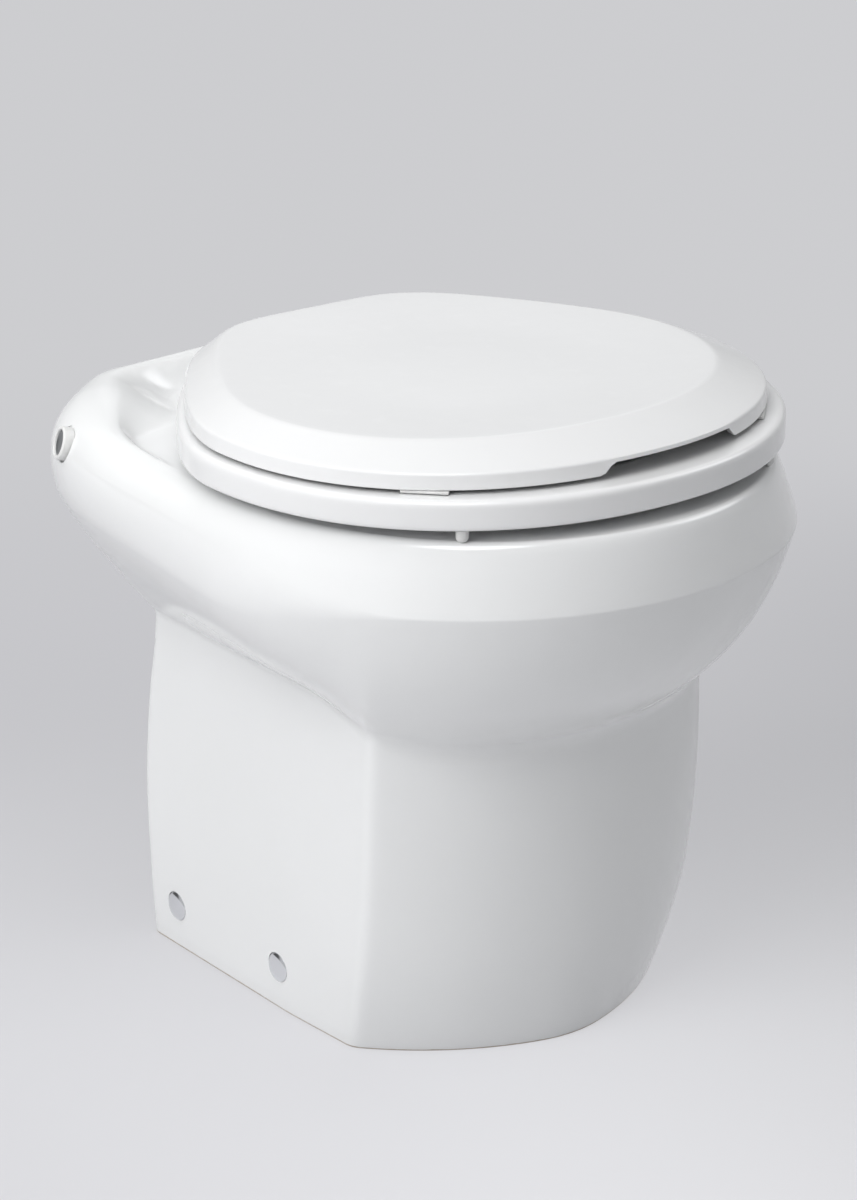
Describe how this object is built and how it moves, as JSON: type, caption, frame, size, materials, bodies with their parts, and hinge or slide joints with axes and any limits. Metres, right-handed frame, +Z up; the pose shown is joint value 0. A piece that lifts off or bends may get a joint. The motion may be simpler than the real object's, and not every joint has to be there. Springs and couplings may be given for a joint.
{
  "type": "electric marine toilet",
  "caption": "One-piece china boat toilet with a faceted pedestal, hinged seat ring and lid, a flush push-button in its rear ridge and an electric macerator pump in its base.",
  "frame": {"origin": "on the floor, below the middle of the china casting's overall width and length", "axes": "+Z up; -Y the rounded front where a person sits; +Y the ridge and the wall side; -X the sitter's right-hand side, which carries the flush button"},
  "size_m": [0.376, 0.409, 0.3805],
  "materials": {
    "china": "glossy white glaze",
    "seat_white": "smooth satin-gloss white",
    "white_plastic": "moulded white",
    "chrome": "polished plating",
    "spun_steel": "circular spun finish",
    "steel": "plain stainless",
    "black_rubber": "matt black",
    "pale_rubber": "soft white",
    "dark_plastic": "moulded black",
    "motor_paint": "dark grey paint",
    "brass": "plain cast brass"
  },
  "bodies": {
    "bowl": {"back_plate": "dark_plastic", "bowl_body": "china", "button_nut": "white_plastic", "button_switch": "dark_plastic", "chopper_plate": "steel", "cradle_pad": "black_rubber", "discharge_elbow": "dark_plastic", "fixing_cap_front_left": "chrome", "fixing_cap_front_right": "chrome", "fixing_cap_rear_left": "chrome", "fixing_cap_rear_right": "chrome", "fixing_screw_front_left": "steel", "fixing_screw_front_right": "steel", "fixing_screw_rear_left": "steel", "fixing_screw_rear_right": "steel", "floor_bracket_left": "steel", "floor_bracket_right": "steel", "flush_button_bezel": "white_plastic", "hinge_pin_left": "steel", "hinge_pin_right": "steel", "hinge_post_left": "chrome", "hinge_post_right": "chrome", "hinge_washer_left": "black_rubber", "hinge_washer_right": "black_rubber", "hinge_wing_nut_left": "white_plastic", "hinge_wing_nut_right": "white_plastic", "inlet_cover": "motor_paint", "inlet_sleeve": "black_rubber", "joker_valve": "black_rubber", "motor_can": "motor_paint", "motor_end_cap": "steel", "pump_cradle": "steel", "pump_housing": "dark_plastic", "rinse_hose": "black_rubber", "rinse_spring": "steel", "rinse_spud": "white_plastic", "rinse_valve_body": "brass", "rinse_valve_coil": "dark_plastic", "shaft_seal": "black_rubber", "sleeve_clamp_lower": "steel", "sleeve_clamp_upper": "steel", "union_nut": "motor_paint", "valve_stand": "steel"},
    "seat": {"seat_ring": "seat_white", "seat_bumper_front_left": "pale_rubber", "seat_bumper_front_right": "pale_rubber", "seat_bumper_rear_left": "pale_rubber", "seat_bumper_rear_right": "pale_rubber"},
    "lid": {"lid": "seat_white", "lid_bumper_left": "pale_rubber", "lid_bumper_right": "pale_rubber"},
    "flush_button": {"flush_button": "spun_steel"},
    "pump_rotor": {"pump_shaft": "steel", "impeller": "dark_plastic", "macerator_blade": "steel"},
    "rinse_plunger": {"rinse_plunger": "steel"}
  },
  "joints": [
    {"name": "seat_hinge", "type": "hinge", "parent": "bowl", "child": "seat", "pos_m": [0, 0.1395, 0.351], "axis": [-1, 0, 0], "range_deg": [0, 97]},
    {"name": "lid_hinge", "type": "hinge", "parent": "seat", "child": "lid", "pos_m": [0, 0.1395, 0.351], "axis": [1, 0, 0], "range_deg": [-100, 0]},
    {"name": "flush_press", "type": "slide", "parent": "bowl", "child": "flush_button", "axis": [0.9095, -0.2955, -0.2924], "range_m": [0, 0.003], "stiffness_N_per_m": 300, "springref_m": -0.003},
    {"name": "pump_spin", "type": "hinge", "parent": "bowl", "child": "pump_rotor", "pos_m": [0, 0.03, 0.066], "axis": [0, 1, 0], "continuous": true},
    {"name": "rinse_lift", "type": "slide", "parent": "bowl", "child": "rinse_plunger", "axis": [0, 0, 1], "range_m": [0, 0.003], "stiffness_N_per_m": 100, "springref_m": -0.004, "deforming": ["rinse_spring"]}
  ]
}
